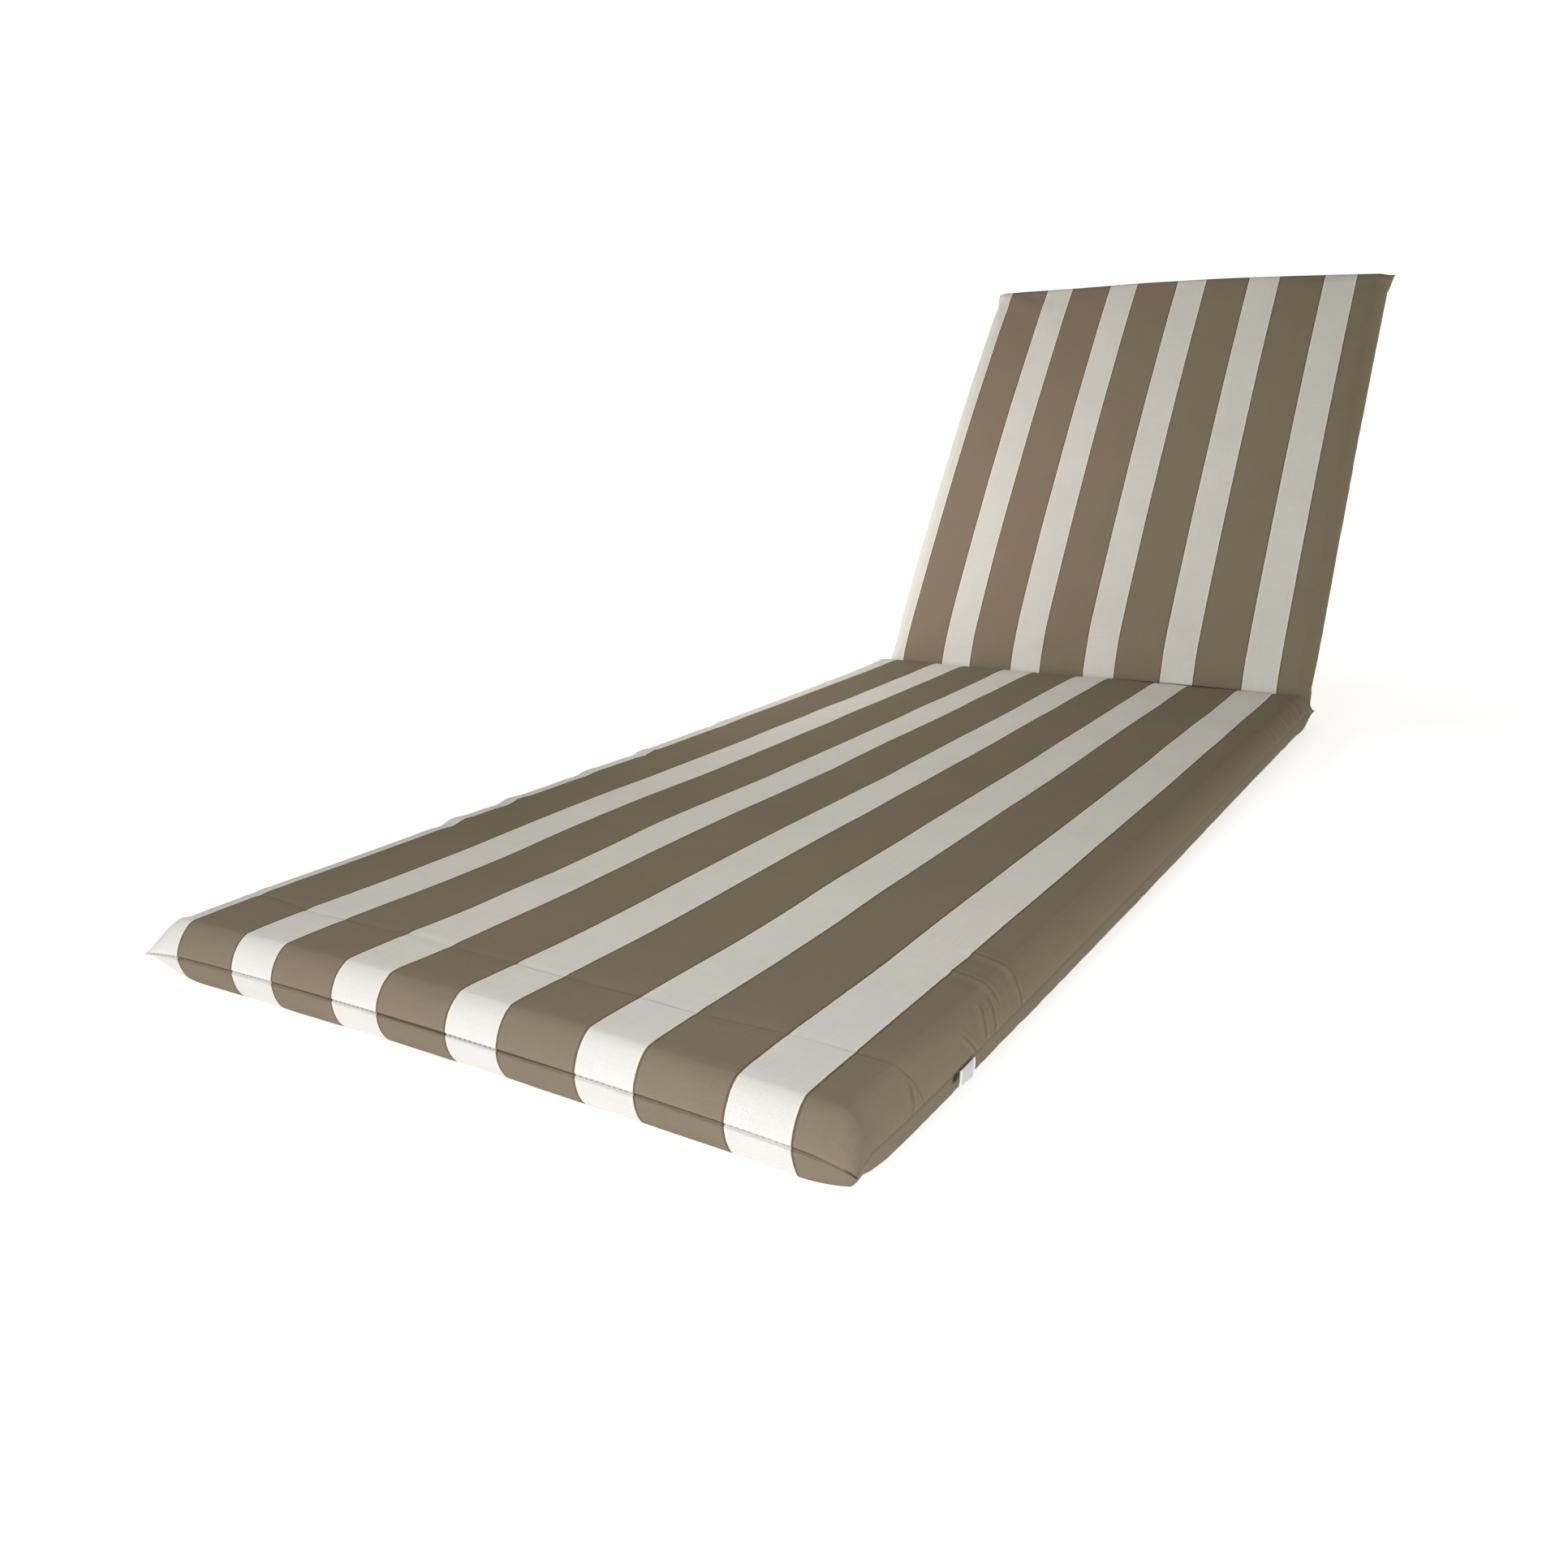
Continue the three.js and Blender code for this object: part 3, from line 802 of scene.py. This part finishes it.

# Painted shade in thin lines where the cover is folded, and a painted highlight beside the small folds
FOLD_LINE_FADE, FOLD_LINE_PAINTED_SHADE = (0.0002, 0.0011), 0.26
PATCHY_SCALE, PATCHY_RANGE, PATCHY_LOW = 30.0, (0.35, 0.6), 0.25
STROKE_PAINTED_SHADE_AWAY, STROKE_PAINTED_SHADE_FADE, STROKE_PAINTED_SHADE = 0.0012, (0.0002, 0.0020), 0.22
STROKE_PAINTED_HIGHLIGHT_AWAY, STROKE_PAINTED_HIGHLIGHT_FADE, STROKE_PAINTED_HIGHLIGHT = 0.0014, (0.0002, 0.0022), 0.12

# Painted shade in the seam at the foot's right corner, and painted shadow in the gap beside the tab
CORNER_SHADE_WIDTH, CORNER_SHADE_LENGTH, CORNER_SHADE_DARKNESS = (0.0006, 0.0020), (0.006, 0.010), 0.7
TAB_SHADOW_FADE, TAB_SHADOW_DARKNESS = (0.5, 1.2), 0.8

# Height of the weave, the slubs and the cloth's unevenness, and how the cloth reflects
WEAVE_HEIGHT = SLUB_HEIGHT = 0.00010
UNEVEN_SCALE, UNEVEN_HEIGHT = 70.0, 0.0007
CANVAS_BUMP = 0.55
CANVAS_ROUGHNESS, SLUB_ROUGHNESS = 0.86, 0.10
CANVAS_SPECULAR = 0.03


def woven(n, u, v, thread):
    """Plain weave: a wave along each direction of the cloth, multiplied."""
    waves = [n.math("SINE", n.times(along, 2 * math.pi / thread)) for along in (u, v)]
    return n.times(*waves)


def striped_colour(n, u, v, place):
    """The stripes' colour with their edge lines, painted light at the foot end and painted shade on the
    back's cream, and where it is taupe.
    """
    waver = n.times(n.minus(n.noise(place, STRIPE_WAVER_SCALE), 0.5), STRIPE_WAVER)
    across = n.plus(n.minus(u, FIRST_STRIPE), waver)
    phase = n.times(n.math("FRACT", n.math("DIVIDE", across, STRIPE_PITCH)), STRIPE_PITCH)
    off = n.absolute(n.minus(phase, TAUPE_WIDTH / 2))
    off = n.math("MINIMUM", off, n.minus(STRIPE_PITCH, off))
    depth = n.minus(TAUPE_WIDTH / 2, off)
    taupe = n.step(depth, -STRIPE_BLUR, STRIPE_BLUR)
    dark_edge = n.step(depth, *DARK_EDGE_FADE, 1.0, 0.0)
    light_edge = n.step(depth, *LIGHT_EDGE_FADE)

    on_back = n.step(v, -BACK_FADE, BACK_FADE)
    to_right = n.times(u, DRIFT_ON_BACK, on_back)
    on_seat = n.times(n.minus(1.0, on_back), DRIFT_ON_SEAT)
    drift = n.plus(n.noise(place, DRIFT_SCALE, 1.0), n.plus(to_right, on_seat))
    drift = n.step(drift, *DRIFT_RANGE)
    # painted light: the taupe turns lighter and redder towards the foot end
    foot_painted_light = n.step(v, *FOOT_PAINTED_LIGHT_FADE, FOOT_PAINTED_LIGHT_SHARE, 0.0)
    taupe_colour = n.colours(drift, TAUPE, TAUPE_OLIVE)
    taupe_colour = n.colours(foot_painted_light, taupe_colour, TAUPE_FOOT_PAINTED_LIGHT)
    taupe_colour = n.colours(n.times(dark_edge, DARK_EDGE_SHARE), taupe_colour, TAUPE_EDGE)
    cream_colour = n.colours(drift, CREAM, CREAM_COOL)
    # painted shade: darker cream on the back section
    cream_colour = n.colours(on_back, cream_colour, CREAM_BACK_PAINTED_SHADE)
    cream_colour = n.colours(n.times(light_edge, LIGHT_EDGE_SHARE), cream_colour, CREAM_EDGE)
    return n.colours(taupe, cream_colour, taupe_colour), taupe


def seam_and_crease_painted_shade(n, v, taupe, seam, along_seam, beside, endwise, on_right):
    """How much the painted shade in the seam's groove, with the thread's darker dashes, and the painted
    shade in the crease darken the cloth.
    """
    dash = n.math("SINE", n.times(along_seam, 2 * math.pi / STITCH))
    line = n.step(seam, *SEAM_LINE, 1.0, 0.0)
    dashes = n.times(n.step(dash, -DASH_EDGE, DASH_EDGE), DASH_ON_CREAM)
    dashed = n.times(line, n.plus(SEAM_ON_CREAM, dashes))
    at_end = n.minus(beside, endwise)
    line = n.times(line, n.step(at_end, -SIDE_SEAM_BLUR, SIDE_SEAM_BLUR, SIDE_SEAM_SHARE, 1.0))
    to_corner = n.times(on_right, n.step(beside, *CORNER_FADE, CORNER_SHARE, 0.0))
    line = n.times(line, n.minus(1.0, to_corner))
    on_taupe = n.times(line, SEAM_ON_TAUPE, taupe)
    seam_line_painted_shade = n.plus(on_taupe, n.times(dashed, n.minus(1.0, taupe)))
    crease_line_painted_shade = n.times(n.step(v, *CREASE_LINE_END, 1.0, 0.0), n.step(v, *CREASE_LINE_START))
    return n.math("MAXIMUM", n.times(seam_line_painted_shade, SEAM_PAINTED_SHADE), n.times(crease_line_painted_shade, CREASE_PAINTED_SHADE))


def fold_painted_shade_and_highlight(n, place, fold_away, stroke_away, stroke_strength):
    """How much the painted shade along the folds darkens the cloth, less the painted highlight beside
    the small folds.
    """
    patchy = n.step(n.noise(place, PATCHY_SCALE), *PATCHY_RANGE, PATCHY_LOW, 1.0)
    fold_painted_line = n.step(n.absolute(fold_away), *FOLD_LINE_FADE, FOLD_LINE_PAINTED_SHADE, 0.0)
    furrow = n.absolute(n.minus(stroke_away, STROKE_PAINTED_SHADE_AWAY))
    ridge = n.absolute(n.plus(stroke_away, STROKE_PAINTED_HIGHLIGHT_AWAY))
    dark = n.step(furrow, *STROKE_PAINTED_SHADE_FADE, STROKE_PAINTED_SHADE, 0.0)
    light = n.step(ridge, *STROKE_PAINTED_HIGHLIGHT_FADE, STROKE_PAINTED_HIGHLIGHT, 0.0)
    return n.plus(n.times(fold_painted_line, patchy), n.times(n.minus(dark, light), stroke_strength))


def canvas_material():
    n = Nodes("striped_canvas_weave")
    u, v, layer = n.attribute("cloth")
    seam, along_seam, tab_painted_shadow = n.attribute("sewn")
    beside, endwise, fold_away = n.attribute("place")
    stroke_away, stroke_strength, _ = n.attribute("folded")
    place = n.vector(u, v, n.times(layer, 3.0))  # so that both layers differ
    on_right = n.step(u, 0.0, RIGHT_FROM)
    colour, taupe = striped_colour(n, u, v, place)

    weave = woven(n, u, v, THREAD)
    slub_u = n.vector(n.times(u, SLUBS_ACROSS), n.times(v, SLUBS_ALONG), 0.0)
    slub_v = n.vector(n.times(u, SLUBS_ALONG), n.times(v, SLUBS_ACROSS), 4.0)
    slubs = n.minus(n.plus(n.noise(slub_u, 1.0, 1.0), n.noise(slub_v, 1.0, 1.0)), 1.0)
    shade = n.plus(1.0, n.times(slubs, SLUB_SHADE))
    shade = n.times(shade, n.plus(1.0, n.times(weave, WEAVE_SHADE)))
    mottle = n.minus(n.noise(place, MOTTLE_SCALE, 3.0), 0.5)
    shade = n.times(shade, n.plus(1.0, n.times(mottle, MOTTLE_SHADE)))

    # painted shade in the seam at the foot's right corner
    corner_painted_shade = n.times(n.step(endwise, *CORNER_SHADE_WIDTH, CORNER_SHADE_DARKNESS, 0.0), n.step(beside, *CORNER_SHADE_LENGTH, 1.0, 0.0))
    corner_painted_shade = n.times(corner_painted_shade, on_right)
    # Painted shade darkens the folds, the seam's groove, the crease, the foot's right corner and the gap
    # beside the tab; the small folds also get a painted highlight
    for darker in (
        fold_painted_shade_and_highlight(n, place, fold_away, stroke_away, stroke_strength),
        seam_and_crease_painted_shade(n, v, taupe, seam, along_seam, beside, endwise, on_right),
        n.math("MAXIMUM", corner_painted_shade, n.step(tab_painted_shadow, *TAB_SHADOW_FADE, TAB_SHADOW_DARKNESS, 0.0)),
    ):
        shade = n.times(shade, n.minus(1.0, darker))
    # painted shade on the under layer
    shade = n.times(shade, n.step(layer, -0.9, 0.9, UNDERSIDE_PAINTED_SHADE, 1.0))
    n.put(n.shaded(colour, shade), n.shader.inputs["Base Color"])

    uneven = n.times(n.noise(place, UNEVEN_SCALE, 3.0), UNEVEN_HEIGHT)
    height = n.plus(n.times(weave, WEAVE_HEIGHT), n.times(slubs, SLUB_HEIGHT), uneven)
    n.bumps(height, CANVAS_BUMP)
    roughness = n.plus(CANVAS_ROUGHNESS, n.times(slubs, SLUB_ROUGHNESS))
    n.put(roughness, n.shader.inputs["Roughness"])
    n.shader.inputs["Specular IOR Level"].default_value = CANVAS_SPECULAR
    return n.material


TAPE_GREY = (0.60, 0.64, 0.62, 1)
TAPE_WHITE = (0.93, 0.94, 0.94, 1)
TAPE_THREAD = 0.0006
TAPE_FOLDED_FADE = (0.0018, 0.0030)  # the doubled edges, which are whiter
TAPE_WEAVE_SHADE, TAPE_WEAVE_HEIGHT = 0.05, 0.00006


def tape_material():
    n = Nodes("white_tape_weave")
    u, v, edge = n.attribute("cloth")
    weave = woven(n, u, v, TAPE_THREAD)
    colour = n.colours(n.step(edge, *TAPE_FOLDED_FADE, 1.0, 0.0), TAPE_GREY, TAPE_WHITE)
    colour = n.shaded(colour, n.plus(1.0, n.times(weave, TAPE_WEAVE_SHADE)))
    n.put(colour, n.shader.inputs["Base Color"])
    n.bumps(n.times(weave, TAPE_WEAVE_HEIGHT), 0.5)
    n.shader.inputs["Roughness"].default_value = 0.55
    n.shader.inputs["Specular IOR Level"].default_value = 0.4
    return n.material


def add_object(name, mesh, material):
    piece = bpy.data.objects.new(name, mesh)
    bpy.context.scene.collection.objects.link(piece)
    mesh.materials.append(material)
    return piece


cover = add_object("cushion_cover", cushion_mesh("cushion_cover"), canvas_material())
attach(cover, "root")
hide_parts("cushion")

# The tab in the right side seam
TAB_WIDTH = 0.021  # along the seam
TAB_DROP = 0.010  # from the seam to the free edge, along the tab
TAB_FROM_FOOT = 0.138  # foot seam to the middle of the tab
TAB_GAP = 0.00035  # clear of the cover
TAB_BELOW_SEAM = 0.001
TAB_ANGLE_ROOT = 65  # degrees below level where it leaves the seam
TAB_ANGLE_END = 88
TAB_SLANT = 37  # degrees from square to the seam, towards the foot
TAB_THICK = 0.0005
TAB_FOLD = 0.0024  # width of the doubled edges
TAB_FOLD_EXTRA, TAB_FOLD_BLUR = 0.9, 0.0006  # they are thicker by this share
TAB_WAVE, TAB_BOW = 0.0006, 0.0004  # at the free edge
TAB_LEVEL = 0.0003  # lies this far out of the CAD tab's middle face
TAB_CAD_HALF = 0.0005  # half the thickness of the CAD tab
TAB_COLUMNS, TAB_ROWS = 43, 17


def tab_mesh(name):
    across = np.linspace(-0.5, 0.5, TAB_COLUMNS)
    down = np.linspace(0, 1, TAB_ROWS)
    s, t = np.meshgrid(across, down)
    to_edge = (0.5 - np.abs(s)) * TAB_WIDTH
    folded = smooth((TAB_FOLD - to_edge) / TAB_FOLD_BLUR + 0.5)
    thick = TAB_THICK * (1 + TAB_FOLD_EXTRA * folded)
    turned = math.radians(TAB_ANGLE_END - TAB_ANGLE_ROOT)
    angle = math.radians(TAB_ANGLE_ROOT) + turned * t
    chord = math.radians(TAB_ANGLE_ROOT) + turned * t / 2
    wave = TAB_WAVE * t * np.sin(s * 2 * math.pi) + TAB_BOW * t * (1 - 4 * s * s)
    slant = math.radians(TAB_SLANT)
    hung = TAB_DROP * math.cos(slant) * t
    sheets = []
    for side in (1, -1):
        offset = side * thick / 2 + wave + TAB_LEVEL
        x = hung * np.cos(chord) + offset * np.sin(angle)
        y = s * TAB_WIDTH - TAB_DROP * math.sin(slant) * t
        z = -hung * np.sin(chord) + offset * np.cos(angle)
        sheets.append(np.stack([x, y, z], -1))
    narrower = FOOT_NARROWING * math.exp(-TAB_FROM_FOOT / FOOT_NARROWING_REACH)
    seam_x = SEAT_RIGHT_WIDTH - narrower
    origin = np.array([
        seam_x + TAB_GAP + TAB_CAD_HALF * math.sin(math.radians(TAB_ANGLE_ROOT)),
        TAB_FROM_FOOT - SEAT_LENGTH / 2,
        SEAM_HEIGHT - FOOT_SEAM_DROP * (1 - TAB_FROM_FOOT / SEAT_LENGTH) - TAB_BELOW_SEAM,
    ])
    count = s.size
    points = np.concatenate([sheet.reshape(-1, 3) for sheet in sheets]) + origin
    index = np.arange(count).reshape(s.shape)
    faces = [quads_of(index, -1), quads_of(index, 1) + count]
    loop = np.concatenate([index[0, :], index[1:, -1], index[-1, -2::-1], index[-2:0:-1, 0]])
    after = np.roll(loop, -1)
    faces.append(np.stack([loop, after, after + count, loop + count], -1))
    faces = np.concatenate(faces)
    mesh = bpy.data.meshes.new(name)
    mesh.from_pydata(points.tolist(), [], faces.tolist())
    data = mesh.attributes.new("cloth", "FLOAT_VECTOR", "POINT")
    one = np.stack([s * TAB_WIDTH, t * TAB_DROP, to_edge], -1).reshape(-1, 3)
    data.data.foreach_set("vector", np.concatenate([one, one]).astype(np.float32).ravel())
    mesh.polygons.foreach_set("use_smooth", np.ones(len(faces), bool))
    mesh.update()
    return mesh


tab = add_object("seam_tab", tab_mesh("seam_tab"), tape_material())
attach(tab, "root")
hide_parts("tab")

# Floor, light and camera. Floor and horizon glow enough to show as pure white.
FLOOR_REACH = 40
FLOOR_PLACE = (0, 0.2, -0.0006)
FLOOR_GLOW_FROM, FLOOR_GLOW_UNTIL = 0.6, 1.5  # metres from its middle
FLOOR_NEAR_GLOW = 0.62
FLOOR_FAR_GLOW = 0.88
HORIZON_GLOW = 1.07
SKY_GLOW = 0.31
SKY_FADE = (0.27, 0.40)  # upward share of the direction, from the horizon's glow to the sky's
BEHIND_CAMERA_GLOW = 0.6  # share of the sky's light that comes from the foot's side
BEHIND_CAMERA_FADE = (-0.4, 0.2)  # share of the direction along Y
SKY_COLOUR = (1, 0.985, 0.94, 1)

floor_nodes = Nodes("pale_floor")
floor_nodes.shader.inputs["Base Color"].default_value = (0.88, 0.88, 0.88, 1)
floor_nodes.shader.inputs["Roughness"].default_value = 0.9
floor_nodes.shader.inputs["Specular IOR Level"].default_value = 0.1
floor_nodes.shader.inputs["Emission Color"].default_value = (1, 1, 1, 1)
floor_place = floor_nodes.new("ShaderNodeTexCoord").outputs["Object"]
floor_away = floor_nodes.new("ShaderNodeVectorMath", operation="LENGTH")
floor_nodes.put(floor_place, floor_away.inputs[0])
floor_glow = floor_nodes.step(
    floor_away.outputs["Value"], FLOOR_GLOW_FROM, FLOOR_GLOW_UNTIL, FLOOR_NEAR_GLOW, FLOOR_FAR_GLOW
)
floor_nodes.put(floor_glow, floor_nodes.shader.inputs["Emission Strength"])
floor_mesh = bpy.data.meshes.new("floor")
floor_signs = ((-1, -1), (1, -1), (1, 1), (-1, 1))
floor_corners = [(x * FLOOR_REACH, y * FLOOR_REACH, 0) for x, y in floor_signs]
floor_mesh.from_pydata(floor_corners, [], [(0, 1, 2, 3)])
floor = add_object("floor", floor_mesh, floor_nodes.material)
floor.location = FLOOR_PLACE


def area_light(name, place, target, size, power, colour):
    data = bpy.data.lights.new(name, "AREA")
    data.shape, data.size, data.energy, data.color = "DISK", size, power, colour
    light = bpy.data.objects.new(name, data)
    light.rotation_mode = "QUATERNION"
    light.location = place
    light.rotation_quaternion = (Vector(target) - Vector(place)).to_track_quat("-Z", "Y")
    bpy.context.scene.collection.objects.link(light)


COOL, COOLER = (0.875, 0.905, 1.0), (0.875, 0.90, 1.0)
area_light("front", (-0.05, -1.80, 0.55), (0.0, -0.5, 0.05), 1.0, 8.0, COOL)
area_light("front_right", (1.05, -1.60, 0.55), (0.25, -0.45, 0.05), 0.9, 8.6, COOLER)
area_light("left", (-0.70, 0.25, 0.5), (-0.15, 0.85, 0.3), 0.6, 3.6, (1.0, 0.97, 0.95))
area_light("over_foot", (0.05, -0.55, 0.95), (0.05, -0.5, 0.0), 0.9, 2.6, (1.0, 0.97, 0.93))

world = bpy.data.worlds.new("studio")
world.use_nodes = True
world_nodes, world_links = world.node_tree.nodes, world.node_tree.links


def sky_fade(share, low, high, to_low, to_high):
    node = world_nodes.new("ShaderNodeMapRange")
    node.interpolation_type = "SMOOTHSTEP"
    world_links.new(share, node.inputs[0])
    for socket, value in zip(list(node.inputs)[1:5], (low, high, to_low, to_high)):
        socket.default_value = value
    return node.outputs[0]


direction = world_nodes.new("ShaderNodeTexCoord")
split = world_nodes.new("ShaderNodeSeparateXYZ")
world_links.new(direction.outputs["Generated"], split.inputs[0])
glow = world_nodes.new("ShaderNodeMath")
glow.operation = "MULTIPLY"
upward = sky_fade(split.outputs["Z"], *SKY_FADE, HORIZON_GLOW, SKY_GLOW)
world_links.new(upward, glow.inputs[0])
behind = sky_fade(split.outputs["Y"], *BEHIND_CAMERA_FADE, BEHIND_CAMERA_GLOW, 1.0)
world_links.new(behind, glow.inputs[1])
world_links.new(glow.outputs[0], world_nodes["Background"].inputs["Strength"])
world_nodes["Background"].inputs["Color"].default_value = SKY_COLOUR
bpy.context.scene.world = world
bpy.context.scene.view_settings.view_transform = "Standard"

CAMERA_PLACE = (0.5739, -1.1067, 0.3973)
CAMERA_TURN = (31.8199, 15.8748, -1.0526)  # azimuth, elevation and roll
CAMERA_LENS, CAMERA_SENSOR = 29.887, 36  # millimetres


def camera_axes(azimuth, elevation, roll):
    a, e, r = (math.radians(value) for value in (azimuth, elevation, roll))
    back = Vector((math.sin(a) * math.cos(e), -math.cos(a) * math.cos(e), math.sin(e)))
    right = Vector((0, 0, 1)).cross(back).normalized()
    up = back.cross(right)
    return math.cos(r) * right + math.sin(r) * up, math.cos(r) * up - math.sin(r) * right, back


camera_data = bpy.data.cameras.new("camera")
camera_data.lens, camera_data.sensor_width = CAMERA_LENS, CAMERA_SENSOR
camera_data.clip_start, camera_data.clip_end = 0.01, 100
camera = bpy.data.objects.new("camera", camera_data)
turned = Matrix(camera_axes(*CAMERA_TURN)).transposed().to_4x4()
camera.matrix_world = Matrix.Translation(CAMERA_PLACE) @ turned
bpy.context.scene.collection.objects.link(camera)
bpy.context.scene.camera = camera

bpy.context.view_layer.update()
